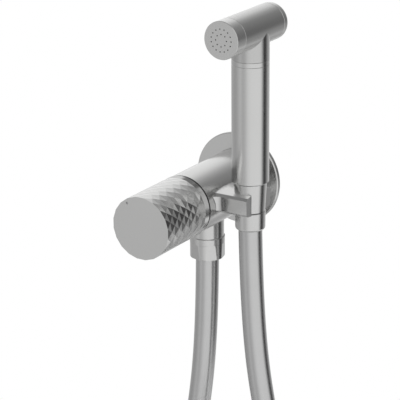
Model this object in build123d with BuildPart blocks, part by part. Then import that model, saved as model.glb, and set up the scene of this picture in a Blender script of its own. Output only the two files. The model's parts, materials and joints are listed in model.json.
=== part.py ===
"""Bidet mixer: a round wall-mounted mixer with a faceted knob, an outlet with a hanging hose,
and a slim hand shower that stands in a forked holder on the side of the body.

Millimetres, +Z up. The wall is the plane Y = 0 and the mixer reaches out along -Y, so a "reach"
is a distance from the wall. The origin is the middle of the wall plate's back face.
"""
import os
from math import cos, pi, radians, sin, sqrt, tan

from build123d import *

os.makedirs("parts", exist_ok=True)

# Driving sizes of the wall plate and the body
flange_radius = 30.5
flange_thickness = 3.0
flange_chamfer = 0.6
flange_back_lip = 0.8
flange_back_recess = 1.0
body_radius = 19.7
body_reach = 67.6
body_edge = 0.3

# Driving sizes of the knob
knob_radius = 20.0
knob_gap = 1.2
knob_rim_width = 4.2
facets_around = 20
facet_bands = 11
facet_band_width = 3.84
knob_wall = 3.2
knob_front_wall = 6.2
knob_rim_front_radius = 19.3
knob_dimple_radius = 0.8
knob_dimple_depth = 0.6
knob_dimple_inset = 2.6
knob_dimple_angle = 33.0

# Driving sizes of the outlet and the hose
outlet_reach = 39.8
outlet_radius = 10.75
outlet_drop = 27.3
outlet_collar = 4.5
outlet_collar_step = 0.5
hex_nut_height = 10.0
hex_nut_radius = 11.15
hex_nut_turn = 44.4
hex_flat_top_width = 5.5
hex_flat_bottom_width = 7.5
hose_radius = 7.5
hose_bore_radius = 4.0
hose_bore_depth = 20.0

# Driving sizes of the hand shower and its holder
fork_reach = 45.0
fork_throw = 15.3
fork_height = 3.1
fork_half_width = 14.7
fork_tip_past_axis = 6.0
fork_flare_from_axis = 11.0
fork_flare_spread = 2.9
fork_root_x = 18.0
fork_mouth_half_width = 8.75
fork_flat_half_height = 4.5
fork_chamfer_width = 1.6
fork_chamfer_height = 1.5
fork_crown_half_height = 7.1
tail_foot_height = -2.8
tail_foot_radius = 9.35
tail_top_height = 15.9
tail_top_radius = 10.3
handle_radius = 11.65
handle_chamfer = 0.7
handle_top_height = 91.0
neck_ring_height = 3.0
head_height = 112.6
head_radius = 11.7
head_front_reach = 78.9
head_cap_length = 9.4
head_ring_length = 5.5
head_back_reach = 18.5
cone_nut_height = 12.2
cone_nut_top_radius = 9.65
cone_nut_foot_radius = 9.4
cone_nut_round = 1.5

# Clearances: a thread or a push fit, a running fit, a seam that shows, a gap round a soft piece
fit = 0.05
running_fit = 0.05
seam = 0.1
seam_edge = 0.15
soft_gap = 0.1
disc_film = 0.03
cut_over = 1.0

# Places worked out from the driving sizes
handset_x = body_radius + fork_throw
knob_back_reach = body_reach + knob_gap
facet_start_reach = knob_back_reach + knob_rim_width
knob_front_reach = facet_start_reach + facet_bands * facet_band_width
outlet_foot = -(outlet_drop + outlet_collar)


def front_plane(reach):
    """Plane across the body's axis, facing away from the wall."""
    return Plane.XZ.offset(reach)


def outlet_plane(height):
    """Level plane round the outlet's axis."""
    return Plane(origin=(0, -outlet_reach, height))


def handset_plane(height):
    """Level plane round the hand shower's upright axis."""
    return Plane(origin=(handset_x, -fork_reach, height))


def head_plane(reach):
    """Plane across the shower head's axis, facing away from the wall."""
    return Plane(origin=(handset_x, -reach, head_height), x_dir=(1, 0, 0), z_dir=(0, -1, 0))


def keep(piece, name):
    """Label a finished piece and write its file."""
    piece.part.label = name
    export_step(piece.part, f"parts/{name}.step")


def ring(plane, outer, inner, length):
    """Plain ring or washer that stands on a plane."""
    with BuildPart() as piece:
        with BuildSketch(plane):
            Circle(outer)
            Circle(inner, mode=Mode.SUBTRACT)
        extrude(amount=length)
    return piece


def ring_seal(plane, middle_radius, cord_radius):
    """Round-section sealing ring whose middle circle lies in a plane."""
    section = Plane(origin=plane.origin + plane.x_dir * middle_radius, x_dir=plane.x_dir, z_dir=plane.y_dir)
    with BuildPart() as piece:
        with BuildSketch(section):
            Circle(cord_radius)
        revolve(axis=Axis(plane.origin, plane.z_dir))
    return piece


def hex_circle(across_flats):
    """Corner radius of a hexagon of this size across its flats."""
    return across_flats / sqrt(3)


# Wall plate: a rim that lies on the wall, a recess behind it with the seal, and a groove for the grip ring
flange_seal_thickness = flange_back_recess
flange_seal_outer = flange_radius - 2 * flange_back_lip
flange_seal_width = 3.0
flange_bore_radius = body_radius + seam
grip_ring_cord = 0.6
grip_groove_width = 2 * (grip_ring_cord + fit)
grip_ring_reach = (flange_back_recess + flange_thickness) / 2

with BuildPart() as wall_flange:
    with BuildSketch(front_plane(0)):
        Circle(flange_radius)
        Circle(flange_bore_radius, mode=Mode.SUBTRACT)
    extrude(amount=flange_thickness)
    front_edges = wall_flange.edges().group_by(Axis.Y)[0]
    chamfer(front_edges.sort_by(SortBy.RADIUS)[-1], flange_chamfer)
    with BuildSketch(front_plane(0)):
        Circle(flange_seal_outer)
    extrude(amount=flange_back_recess, mode=Mode.SUBTRACT)
    with BuildSketch(front_plane(grip_ring_reach - grip_groove_width / 2)):
        Circle(body_radius + grip_groove_width)
    extrude(amount=grip_groove_width, mode=Mode.SUBTRACT)
keep(wall_flange, "wall_flange")

grip_ring = ring_seal(front_plane(grip_ring_reach), body_radius + fit + grip_ring_cord, grip_ring_cord)
keep(grip_ring, "grip_ring")

flange_seal = ring(
    front_plane(0),
    flange_seal_outer - soft_gap,
    flange_seal_outer - flange_seal_width,
    flange_seal_thickness,
)
keep(flange_seal, "flange_seal")

# Bracket behind the plate: a disc in the wall's opening and a boss that carries the body
bracket_radius = 25.0
bracket_thickness = 4.0
bracket_boss_radius = 15.0
bracket_boss_reach = 10.0
bracket_screw_circle = 20.5
bracket_screw_count = 4
bracket_screw_turn = 45.0
bracket_screw_radius = 2.0
bracket_screw_neck_radius = 1.8
bracket_screw_head_radius = 3.6
bracket_screw_head = 2.0
bracket_screw_length = 14.0
spigot_offset = 8.0
spigot_radius = 5.5
spigot_bore_radius = 3.4
spigot_behind_wall = 16.0
spigot_reach = 16.0
spigot_plug_radius = 6.0
body_screw_reach = 6.0
body_screw_radius = 2.5
body_screw_socket = 2.5
body_screw_socket_depth = 2.2
body_screw_bite = 1.0

with BuildPart() as wall_bracket:
    with BuildSketch(front_plane(-bracket_thickness)):
        Circle(bracket_radius)
    extrude(amount=bracket_thickness)
    with BuildSketch(front_plane(0)):
        Circle(bracket_boss_radius)
    extrude(amount=bracket_boss_reach)
    with BuildSketch(front_plane(-bracket_thickness)):
        with Locations((-spigot_offset, 0), (spigot_offset, 0)):
            Circle(spigot_radius + fit)
    extrude(amount=bracket_thickness + bracket_boss_reach, mode=Mode.SUBTRACT)
    with BuildSketch(front_plane(-bracket_thickness)):
        with PolarLocations(bracket_screw_circle, bracket_screw_count, start_angle=bracket_screw_turn):
            Circle(bracket_screw_radius + fit)
    extrude(amount=bracket_thickness, mode=Mode.SUBTRACT)
    with BuildSketch(front_plane(-bracket_screw_head)):
        with PolarLocations(bracket_screw_circle, bracket_screw_count, start_angle=bracket_screw_turn):
            Circle(bracket_screw_head_radius + fit)
    extrude(amount=bracket_screw_head, mode=Mode.SUBTRACT)
    with BuildSketch(Plane(origin=(0, -body_screw_reach, -bracket_boss_radius), z_dir=(0, 0, 1))):
        Circle(body_screw_radius + fit)
    extrude(amount=body_screw_bite, mode=Mode.SUBTRACT)
keep(wall_bracket, "wall_bracket")

with BuildPart() as bracket_screws:
    with BuildSketch(front_plane(-bracket_screw_head)):
        with PolarLocations(bracket_screw_circle, bracket_screw_count, start_angle=bracket_screw_turn):
            Circle(bracket_screw_head_radius)
    extrude(amount=bracket_screw_head)
    with BuildSketch(front_plane(-bracket_screw_head)):
        with PolarLocations(bracket_screw_circle, bracket_screw_count, start_angle=bracket_screw_turn):
            Circle(bracket_screw_neck_radius)
    extrude(amount=bracket_screw_head - bracket_thickness)
    with BuildSketch(front_plane(-bracket_thickness)):
        with PolarLocations(bracket_screw_circle, bracket_screw_count, start_angle=bracket_screw_turn):
            Circle(bracket_screw_radius)
    extrude(amount=-bracket_screw_length)
    with BuildSketch(front_plane(0)):
        with PolarLocations(bracket_screw_circle, bracket_screw_count, start_angle=bracket_screw_turn):
            RegularPolygon(bracket_screw_radius, 6)
    extrude(amount=-bracket_screw_head / 2, mode=Mode.SUBTRACT)
keep(bracket_screws, "bracket_screws")

# Two inlet spigots in the back of the body. Their plugs behind the bracket carry two sealing rings each,
# drawn squeezed to the size that they have in their sockets
spigot_groove_radius = 4.6
spigot_groove_width = 1.6
spigot_ring_cord = 0.65
spigot_ring_backs = (7.0, 11.5)
spigot_entry_chamfer = 0.8
spigot_sides = {"hot": -1, "cold": 1}

for side_name, side in spigot_sides.items():
    spigot_x = side * spigot_offset
    with BuildPart() as inlet_spigot:
        with BuildSketch(front_plane(-spigot_behind_wall)):
            with Locations((spigot_x, 0)):
                Circle(spigot_plug_radius)
        extrude(amount=spigot_behind_wall - bracket_thickness)
        chamfer(inlet_spigot.edges().group_by(Axis.Y)[-1], spigot_entry_chamfer)
        with BuildSketch(front_plane(-bracket_thickness)):
            with Locations((spigot_x, 0)):
                Circle(spigot_radius)
        extrude(amount=bracket_thickness + spigot_reach)
        for ring_back in spigot_ring_backs:
            with BuildSketch(front_plane(-ring_back - spigot_groove_width / 2)):
                with Locations((spigot_x, 0)):
                    Circle(spigot_plug_radius + cut_over)
                    Circle(spigot_groove_radius, mode=Mode.SUBTRACT)
            extrude(amount=spigot_groove_width, mode=Mode.SUBTRACT)
        with BuildSketch(front_plane(-spigot_behind_wall)):
            with Locations((spigot_x, 0)):
                Circle(spigot_bore_radius)
        extrude(amount=spigot_behind_wall + spigot_reach, mode=Mode.SUBTRACT)
    keep(inlet_spigot, f"inlet_spigot_{side_name}")

    with BuildPart() as spigot_rings:
        for ring_back in spigot_ring_backs:
            ring_middle = spigot_groove_radius + fit + spigot_ring_cord
            with BuildSketch(Plane(origin=(spigot_x + ring_middle, ring_back, 0), z_dir=(0, 0, 1))):
                Circle(spigot_ring_cord)
            revolve(axis=Axis((spigot_x, ring_back, 0), (0, 1, 0)))
    keep(spigot_rings, f"spigot_rings_{side_name}")

# Cartridge sizes: a small turning cartridge with two ceramic discs
cartridge_floor_reach = 44.0
cartridge_radius = 12.4
cartridge_base_thickness = 4.0
cartridge_base_rim = 2.0
disc_radius = 10.4
disc_thickness = 3.2
moving_disc_radius = 9.6
moving_disc_thickness = 3.0
carrier_radius = 9.8
carrier_thickness = 3.3
cartridge_housing_wall = 1.7
cartridge_front_wall = 3.0
cartridge_neck_radius = 7.4
cartridge_neck_length = 5.0
spindle_radius = 3.4
spindle_reach = 98.0
cartridge_nut_radius = 14.1
cartridge_nut_bore_radius = cartridge_neck_radius + fit
cartridge_nut_flats = 22.0
cartridge_nut_head = 4.4
port_radius = 2.8
port_seal_radius = 3.9
port_seal_thickness = 1.2
inlet_port_x = 8.2
inlet_port_z = 1.5
outlet_port_z = -7.4

base_front_reach = cartridge_floor_reach + cartridge_base_thickness
fixed_disc_front_reach = base_front_reach + disc_thickness
moving_disc_back_reach = fixed_disc_front_reach + disc_film
moving_disc_front_reach = moving_disc_back_reach + moving_disc_thickness
carrier_front_reach = moving_disc_front_reach + carrier_thickness
housing_inner_front_reach = carrier_front_reach + running_fit
housing_shoulder_reach = housing_inner_front_reach + cartridge_front_wall
housing_back_reach = base_front_reach + cartridge_base_rim
neck_front_reach = housing_shoulder_reach + cartridge_neck_length
nut_front_reach = body_reach + cartridge_nut_head

# Outlet sizes inside the stub
stub_bore_radius = 5.5
stub_bore_top = -4.6
nipple_thread_radius = 8.3
nipple_thread_top = -17.0
hose_thread_radius = 9.3
hose_thread_length = 5.2
valve_cage_radius = 6.9
valve_cage_top = -20.2

# Holder fastening sizes
fork_stud_radius = 3.0
fork_stud_into_body = 4.0
fork_pin_radius = 1.0
fork_pin_offset = 5.6
fork_pin_into_body = 2.2
fork_stud_into_fork = 4.4

# Body: one cylinder with its outlet stub, waterways, cartridge bore and foot recess
with BuildPart() as mixer_body:
    with BuildSketch(front_plane(flange_back_recess)):
        Circle(body_radius)
    extrude(amount=body_reach - flange_back_recess)
    chamfer(mixer_body.edges().group_by(Axis.Y)[0], body_edge)
    with BuildSketch(outlet_plane(-outlet_drop)):
        Circle(outlet_radius)
    extrude(until=Until.NEXT)
    with BuildSketch(front_plane(0)):
        Circle(bracket_boss_radius + fit)
    extrude(amount=bracket_boss_reach + fit, mode=Mode.SUBTRACT)
    with BuildSketch(front_plane(bracket_boss_reach)):
        with Locations((-spigot_offset, 0), (spigot_offset, 0)):
            Circle(spigot_radius + fit)
    extrude(amount=spigot_reach - bracket_boss_reach, mode=Mode.SUBTRACT)
    with BuildSketch(front_plane(spigot_reach)):
        with Locations((-inlet_port_x, inlet_port_z), (inlet_port_x, inlet_port_z)):
            Circle(port_radius)
    extrude(amount=cartridge_floor_reach - spigot_reach, mode=Mode.SUBTRACT)
    with BuildSketch(front_plane(cartridge_floor_reach)):
        Circle(cartridge_radius + fit)
    extrude(amount=body_reach - cartridge_floor_reach, mode=Mode.SUBTRACT)
    with BuildSketch(front_plane(housing_shoulder_reach)):
        Circle(cartridge_nut_radius + fit)
    extrude(amount=body_reach - housing_shoulder_reach, mode=Mode.SUBTRACT)
    with BuildSketch(front_plane(outlet_reach)):
        with Locations((0, outlet_port_z)):
            Circle(port_radius)
    extrude(amount=cartridge_floor_reach - outlet_reach, mode=Mode.SUBTRACT)
    with BuildSketch(outlet_plane(-outlet_drop)):
        Circle(stub_bore_radius)
    extrude(amount=outlet_drop + stub_bore_top, mode=Mode.SUBTRACT)
    with BuildSketch(outlet_plane(-outlet_drop)):
        Circle(nipple_thread_radius + fit)
    extrude(amount=outlet_drop + nipple_thread_top, mode=Mode.SUBTRACT)
    with BuildSketch(Plane(origin=(0, -body_screw_reach, -body_radius - cut_over), z_dir=(0, 0, 1))):
        Circle(body_screw_radius + fit)
    extrude(amount=body_radius + cut_over - bracket_boss_radius + body_screw_bite, mode=Mode.SUBTRACT)
    with BuildSketch(Plane.YZ.offset(body_radius - fork_stud_into_body)):
        with Locations((-fork_reach, fork_height)):
            Circle(fork_stud_radius + fit)
    extrude(amount=fork_stud_into_body + cut_over, mode=Mode.SUBTRACT)
    with BuildSketch(Plane.YZ.offset(body_radius - fork_pin_into_body)):
        with Locations((-fork_reach + fork_pin_offset, fork_height)):
            Circle(fork_pin_radius + fit)
    extrude(amount=fork_pin_into_body + cut_over, mode=Mode.SUBTRACT)
keep(mixer_body, "mixer_body")

# Grub screw under the body that holds it on the bracket's boss
body_screw_top = -(bracket_boss_radius - body_screw_bite)
body_screw_foot = -(body_radius - body_screw_bite)

with BuildPart() as body_grub_screw:
    with BuildSketch(Plane(origin=(0, -body_screw_reach, body_screw_foot), z_dir=(0, 0, 1))):
        Circle(body_screw_radius)
    extrude(amount=body_screw_top - body_screw_foot)
    with BuildSketch(Plane(origin=(0, -body_screw_reach, body_screw_foot), z_dir=(0, 0, 1))):
        RegularPolygon(hex_circle(body_screw_socket), 6)
    extrude(amount=body_screw_socket_depth, mode=Mode.SUBTRACT)
keep(body_grub_screw, "body_grub_screw")

# Cartridge base with its ports, their seals and the fixed ceramic disc
port_places = ((-inlet_port_x, inlet_port_z), (inlet_port_x, inlet_port_z), (0, outlet_port_z))

with BuildPart() as cartridge_base:
    with BuildSketch(front_plane(cartridge_floor_reach)):
        Circle(cartridge_radius)
    extrude(amount=cartridge_base_thickness + cartridge_base_rim)
    with BuildSketch(front_plane(base_front_reach)):
        Circle(disc_radius + fit)
    extrude(amount=cartridge_base_rim, mode=Mode.SUBTRACT)
    with BuildSketch(front_plane(cartridge_floor_reach)):
        with Locations(*port_places):
            Circle(port_radius)
    extrude(amount=cartridge_base_thickness, mode=Mode.SUBTRACT)
    with BuildSketch(front_plane(cartridge_floor_reach)):
        with Locations(*port_places):
            Circle(port_seal_radius + fit)
    extrude(amount=port_seal_thickness, mode=Mode.SUBTRACT)
keep(cartridge_base, "cartridge_base")

with BuildPart() as port_seals:
    with BuildSketch(front_plane(cartridge_floor_reach)):
        with Locations(*port_places):
            Circle(port_seal_radius)
            Circle(port_radius, mode=Mode.SUBTRACT)
    extrude(amount=port_seal_thickness)
keep(port_seals, "port_seals")

disc_port_radius = 2.4
disc_port_share = 0.7
disc_ports = ((-disc_radius * disc_port_share, inlet_port_z), (disc_radius * disc_port_share, inlet_port_z),
              (0, -disc_radius * disc_port_share))

with BuildPart() as fixed_disc:
    with BuildSketch(front_plane(base_front_reach)):
        Circle(disc_radius)
        with Locations(*disc_ports):
            Circle(disc_port_radius, mode=Mode.SUBTRACT)
    extrude(amount=disc_thickness)
keep(fixed_disc, "fixed_disc")

# Moving disc: a shallow chamber in its back face joins the ports as the knob turns
chamber_depth = 1.6
chamber_radius = 4.6
chamber_drop = 3.6

with BuildPart() as moving_disc:
    with BuildSketch(front_plane(moving_disc_back_reach)):
        Circle(moving_disc_radius)
    extrude(amount=moving_disc_thickness)
    with BuildSketch(front_plane(moving_disc_back_reach)):
        with Locations((0, -chamber_drop)):
            Circle(chamber_radius)
    extrude(amount=chamber_depth, mode=Mode.SUBTRACT)
keep(moving_disc, "moving_disc")

# Spindle: disc carrier and stem in one piece, with two flats at its outer end
spindle_flat_length = 14.0
spindle_flat_half = 2.7

with BuildPart() as spindle:
    with BuildSketch(front_plane(moving_disc_front_reach)):
        Circle(carrier_radius)
    extrude(amount=carrier_thickness)
    with BuildSketch(front_plane(carrier_front_reach)):
        Circle(spindle_radius)
    extrude(amount=spindle_reach - carrier_front_reach)
    with BuildSketch(front_plane(spindle_reach - spindle_flat_length)):
        Rectangle(2 * (spindle_radius + cut_over), 2 * (spindle_radius + cut_over))
        Rectangle(2 * (spindle_radius + 2 * cut_over), 2 * spindle_flat_half, mode=Mode.SUBTRACT)
    extrude(amount=spindle_flat_length, mode=Mode.SUBTRACT)
keep(spindle, "spindle")

# Cartridge housing, its spindle seal and the nut that holds it in the body
spindle_seal_cord = 0.8
spindle_seal_reach = neck_front_reach - cartridge_neck_length / 2
spindle_seal_groove_radius = spindle_radius + 2 * spindle_seal_cord + 2 * fit
spindle_seal_groove_width = 2 * spindle_seal_cord + 2 * fit

with BuildPart() as cartridge_housing:
    with BuildSketch(front_plane(housing_back_reach)):
        Circle(cartridge_radius)
    extrude(amount=housing_shoulder_reach - housing_back_reach)
    with BuildSketch(front_plane(housing_shoulder_reach)):
        Circle(cartridge_neck_radius)
    extrude(amount=cartridge_neck_length)
    with BuildSketch(front_plane(housing_back_reach)):
        Circle(cartridge_radius - cartridge_housing_wall)
    extrude(amount=housing_inner_front_reach - housing_back_reach, mode=Mode.SUBTRACT)
    with BuildSketch(front_plane(housing_back_reach)):
        Circle(spindle_radius + running_fit)
    extrude(amount=neck_front_reach - housing_back_reach, mode=Mode.SUBTRACT)
    with BuildSketch(front_plane(spindle_seal_reach - spindle_seal_groove_width / 2)):
        Circle(spindle_seal_groove_radius)
    extrude(amount=spindle_seal_groove_width, mode=Mode.SUBTRACT)
keep(cartridge_housing, "cartridge_housing")

spindle_seal = ring_seal(
    front_plane(spindle_seal_reach), spindle_radius + running_fit + spindle_seal_cord, spindle_seal_cord
)
keep(spindle_seal, "spindle_seal")

with BuildPart() as cartridge_nut:
    with BuildSketch(front_plane(housing_shoulder_reach)):
        Circle(cartridge_nut_radius)
    extrude(amount=body_reach - housing_shoulder_reach)
    with BuildSketch(front_plane(body_reach)):
        RegularPolygon(hex_circle(cartridge_nut_flats), 6)
    extrude(amount=cartridge_nut_head)
    with BuildSketch(front_plane(housing_shoulder_reach)):
        Circle(cartridge_nut_bore_radius)
    extrude(amount=nut_front_reach - housing_shoulder_reach, mode=Mode.SUBTRACT)
keep(cartridge_nut, "cartridge_nut")

# Knob hub, the bush in it and the grub screw that grips the bush
hub_radius = 9.0
hub_back_reach = 80.0
adapter_radius = 6.0
adapter_back_reach = 79.0
adapter_front_reach = 103.0
adapter_relief = 2.0
knob_screw_reach = hub_back_reach + knob_rim_width + facet_band_width
knob_screw_radius = 2.0
knob_screw_length = 5.0
knob_screw_socket = 2.0
knob_screw_socket_depth = 2.0
knob_inner_front_reach = knob_front_reach - knob_front_wall

with BuildPart() as knob_adapter:
    with BuildSketch(front_plane(adapter_back_reach)):
        Circle(adapter_radius)
    extrude(amount=adapter_front_reach - adapter_back_reach)
    with BuildSketch(front_plane(adapter_back_reach)):
        Circle(spindle_radius + fit)
    extrude(amount=spindle_reach - spindle_flat_length - adapter_back_reach, mode=Mode.SUBTRACT)
    with BuildSketch(front_plane(spindle_reach - spindle_flat_length)):
        Circle(spindle_radius + fit)
        Rectangle(2 * spindle_radius + 2 * cut_over, 2 * (spindle_flat_half + fit), mode=Mode.INTERSECT)
    extrude(amount=spindle_flat_length + adapter_relief, mode=Mode.SUBTRACT)
keep(knob_adapter, "knob_adapter")


def knob_station(index):
    """Corner points of one station of the facet pattern; every second one is turned by half a step."""
    reach = knob_front_reach - index * facet_band_width
    step = 360 / facets_around
    turn = step / 2 if index % 2 == 0 else 0
    angles = [radians(turn + step * corner) for corner in range(facets_around)]
    return [Vector(knob_radius * cos(angle), -reach, knob_radius * sin(angle)) for angle in angles]


def knob_facets():
    """Triangles of all bands: each corner of a station is joined to two corners of the next one."""
    faces = []
    for band in range(facet_bands):
        near = knob_station(band)
        far = knob_station(band + 1)
        shift = 0 if band % 2 == 0 else -1
        for corner in range(facets_around):
            one = near[corner]
            two = near[(corner + 1) % facets_around]
            low = far[(corner + shift) % facets_around]
            high = far[(corner + 1 + shift) % facets_around]
            faces.append(Face(Wire.make_polygon([one, high, low])))
            faces.append(Face(Wire.make_polygon([one, two, high])))
    faces.append(Face(Wire.make_polygon(knob_station(0))))
    faces.append(Face(Wire.make_polygon(knob_station(facet_bands))))
    return faces


# Knob: a faceted sleeve with a flat front, a plain rim that widens to the back, and a hub inside
with BuildPart() as knob_sleeve:
    add(Solid(Shell(knob_facets())))
    with BuildSketch(front_plane(knob_back_reach)):
        Circle(knob_radius)
    with BuildSketch(front_plane(facet_start_reach)):
        Circle(knob_rim_front_radius)
    loft()
    with BuildSketch(front_plane(knob_back_reach)):
        Circle(knob_radius - knob_wall)
    extrude(amount=knob_inner_front_reach - knob_back_reach, mode=Mode.SUBTRACT)
    with BuildSketch(front_plane(hub_back_reach)):
        Circle(hub_radius)
    extrude(amount=knob_inner_front_reach - hub_back_reach)
    with BuildSketch(front_plane(hub_back_reach)):
        Circle(adapter_radius + fit)
    extrude(amount=adapter_front_reach - hub_back_reach, mode=Mode.SUBTRACT)
    with BuildSketch(Plane(origin=(0, -knob_screw_reach, -knob_radius - cut_over), z_dir=(0, 0, 1))):
        Circle(knob_screw_radius + fit)
    extrude(amount=knob_radius + cut_over, mode=Mode.SUBTRACT)
    with BuildSketch(front_plane(knob_front_reach)):
        with Locations(
            (
                -(knob_radius - knob_dimple_inset) * sin(radians(knob_dimple_angle)),
                (knob_radius - knob_dimple_inset) * cos(radians(knob_dimple_angle)),
            )
        ):
            Circle(knob_dimple_radius)
    extrude(amount=-knob_dimple_depth, mode=Mode.SUBTRACT)
keep(knob_sleeve, "knob_sleeve")

with BuildPart() as knob_grub_screw:
    with BuildSketch(Plane(origin=(0, -knob_screw_reach, -adapter_radius - fit), z_dir=(0, 0, -1))):
        Circle(knob_screw_radius)
    extrude(amount=knob_screw_length)
    with BuildSketch(
        Plane(origin=(0, -knob_screw_reach, -adapter_radius - fit - knob_screw_length), z_dir=(0, 0, 1))
    ):
        RegularPolygon(hex_circle(knob_screw_socket), 6)
    extrude(amount=knob_screw_socket_depth, mode=Mode.SUBTRACT)
keep(knob_grub_screw, "knob_grub_screw")

# Outlet nipple: collar, upper thread in the stub and lower thread for the hose nut
nipple_foot = outlet_foot - hose_thread_length
nipple_top_bore_radius = 5.0
nipple_ring_cord = 0.65
nipple_groove_width = 2 * (nipple_ring_cord + fit)

with BuildPart() as outlet_nipple:
    with BuildSketch(outlet_plane(outlet_foot)):
        Circle(outlet_radius + outlet_collar_step)
    extrude(amount=outlet_collar)
    chamfer(outlet_nipple.edges().group_by(Axis.Z)[-1], outlet_collar_step)
    with BuildSketch(outlet_plane(-outlet_drop)):
        Circle(nipple_thread_radius)
    extrude(amount=outlet_drop + nipple_thread_top)
    with BuildSketch(outlet_plane(-outlet_drop)):
        Circle(nipple_thread_radius + nipple_groove_width)
        Circle(nipple_thread_radius, mode=Mode.SUBTRACT)
    extrude(amount=-2 * nipple_ring_cord - fit, mode=Mode.SUBTRACT)
    with BuildSketch(outlet_plane(nipple_foot)):
        Circle(hose_thread_radius)
    extrude(amount=hose_thread_length)
    with BuildSketch(outlet_plane(nipple_foot)):
        Circle(nipple_top_bore_radius)
    extrude(amount=nipple_thread_top - nipple_foot, mode=Mode.SUBTRACT)
    with BuildSketch(outlet_plane(nipple_foot)):
        Circle(valve_cage_radius + fit)
    extrude(amount=valve_cage_top - nipple_foot, mode=Mode.SUBTRACT)
keep(outlet_nipple, "outlet_nipple")

nipple_ring = ring_seal(
    outlet_plane(-outlet_drop - nipple_ring_cord),
    nipple_thread_radius + nipple_groove_width / 2,
    nipple_ring_cord,
)
keep(nipple_ring, "nipple_ring")

# Check valve in the nipple: cage with seat and guide, poppet, seal and spring
cage_wall = 1.3
seat_thickness = 1.6
seat_bore_radius = 3.2
guide_thickness = 1.4
guide_bore_radius = 1.3
guide_rib_width = 1.6
guide_hub_radius = 2.2
cage_inset = 1.0
cage_foot = nipple_foot + cage_inset
poppet_head_radius = 4.5
poppet_head_thickness = 1.8
poppet_stem_radius = 1.2
poppet_stem_end = 0.6
poppet_nose_radius = 2.6
poppet_nose_height = 2.4
poppet_nose_taper = 20.0
poppet_seal_thickness = 1.0
spring_wire_radius = 0.3
spring_radius = 2.9
spring_turns = 5

seat_foot = valve_cage_top - seat_thickness
poppet_top = seat_foot - poppet_seal_thickness
poppet_foot = poppet_top - poppet_head_thickness
guide_top = cage_foot + guide_thickness

with BuildPart() as valve_cage:
    with BuildSketch(outlet_plane(cage_foot)):
        Circle(valve_cage_radius)
    extrude(amount=valve_cage_top - cage_foot)
    with BuildSketch(outlet_plane(cage_foot)):
        Circle(valve_cage_radius - cage_wall)
    extrude(amount=seat_foot - cage_foot, mode=Mode.SUBTRACT)
    with BuildSketch(outlet_plane(seat_foot)):
        Circle(seat_bore_radius)
    extrude(amount=seat_thickness, mode=Mode.SUBTRACT)
    with BuildSketch(outlet_plane(cage_foot)):
        with PolarLocations(0, 2):
            Rectangle(2 * valve_cage_radius - cage_wall, guide_rib_width)
        with PolarLocations(0, 2, start_angle=90):
            Rectangle(2 * valve_cage_radius - cage_wall, guide_rib_width)
        Circle(guide_hub_radius)
        Circle(guide_bore_radius, mode=Mode.SUBTRACT)
    extrude(amount=guide_thickness)
keep(valve_cage, "valve_cage")

with BuildPart() as check_poppet:
    with BuildSketch(outlet_plane(poppet_foot)):
        Circle(poppet_head_radius)
    extrude(amount=poppet_head_thickness)
    with BuildSketch(outlet_plane(poppet_top)):
        Circle(poppet_nose_radius)
    extrude(amount=poppet_nose_height, taper=poppet_nose_taper)
    with BuildSketch(outlet_plane(cage_foot - poppet_stem_end)):
        Circle(poppet_stem_radius)
    extrude(amount=poppet_foot - cage_foot + poppet_stem_end)
keep(check_poppet, "check_poppet")

poppet_seal = ring(
    outlet_plane(poppet_top),
    poppet_head_radius,
    poppet_nose_radius + fit,
    poppet_seal_thickness - disc_film,
)
keep(poppet_seal, "poppet_seal")


def coil_spring(foot, axis_direction, length, coil_radius, wire_radius, turns):
    """Round-wire compression spring along one axis, from its foot."""
    along = Plane(origin=foot, z_dir=axis_direction)
    rise = length - 2 * wire_radius
    path = Helix(pitch=rise / turns, height=rise, radius=coil_radius)
    path = along.from_local_coords(path.moved(Location((0, 0, wire_radius))))
    with BuildPart() as piece:
        with BuildSketch(Plane(origin=path @ 0, z_dir=path % 0)):
            Circle(wire_radius)
        sweep(path=path, is_frenet=True)
    return piece


check_spring = coil_spring(
    (0, -outlet_reach, guide_top),
    (0, 0, 1),
    poppet_foot - guide_top,
    spring_radius,
    spring_wire_radius,
    spring_turns,
)
keep(check_spring, "check_spring")

# Hose nut at the outlet: six sloping flats that widen downwards
nut_top = outlet_foot - seam
nut_foot = outlet_foot - hex_nut_height
nut_foot_chamfer = 0.3
hose_hole_gap = 0.15
washer_thickness = 2.0
washer_bore_radius = 5.4
insert_flange_thickness = 1.2
insert_flange_radius = hose_thread_radius - fit
insert_tail_radius = hose_bore_radius - fit
insert_tail_length = 16.0
insert_bore_radius = 3.0

flat_top_distance = sqrt(hex_nut_radius**2 - (hex_flat_top_width / 2) ** 2)
flat_foot_distance = sqrt(hex_nut_radius**2 - (hex_flat_bottom_width / 2) ** 2)
outlet_insert_top = nipple_foot - washer_thickness
hose_start = outlet_insert_top - insert_flange_thickness

with BuildPart() as outlet_hex_nut:
    with BuildSketch(outlet_plane(nut_foot)):
        Circle(hex_nut_radius)
    extrude(amount=nut_top - nut_foot)
    chamfer(outlet_hex_nut.edges().group_by(Axis.Z)[0], nut_foot_chamfer)
    with BuildSketch(outlet_plane(nut_foot)):
        RegularPolygon(flat_foot_distance, 6, major_radius=False, rotation=hex_nut_turn)
    with BuildSketch(outlet_plane(nut_top)):
        RegularPolygon(flat_top_distance, 6, major_radius=False, rotation=hex_nut_turn)
    loft(mode=Mode.INTERSECT)
    with BuildSketch(outlet_plane(nut_foot)):
        Circle(hose_radius + hose_hole_gap)
    extrude(amount=nut_top - nut_foot, mode=Mode.SUBTRACT)
    with BuildSketch(outlet_plane(hose_start)):
        Circle(hose_thread_radius + fit)
    extrude(amount=nut_top - hose_start, mode=Mode.SUBTRACT)
keep(outlet_hex_nut, "outlet_hex_nut")

outlet_washer = ring(
    outlet_plane(outlet_insert_top), insert_flange_radius - soft_gap, washer_bore_radius, washer_thickness
)
keep(outlet_washer, "outlet_washer")


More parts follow.
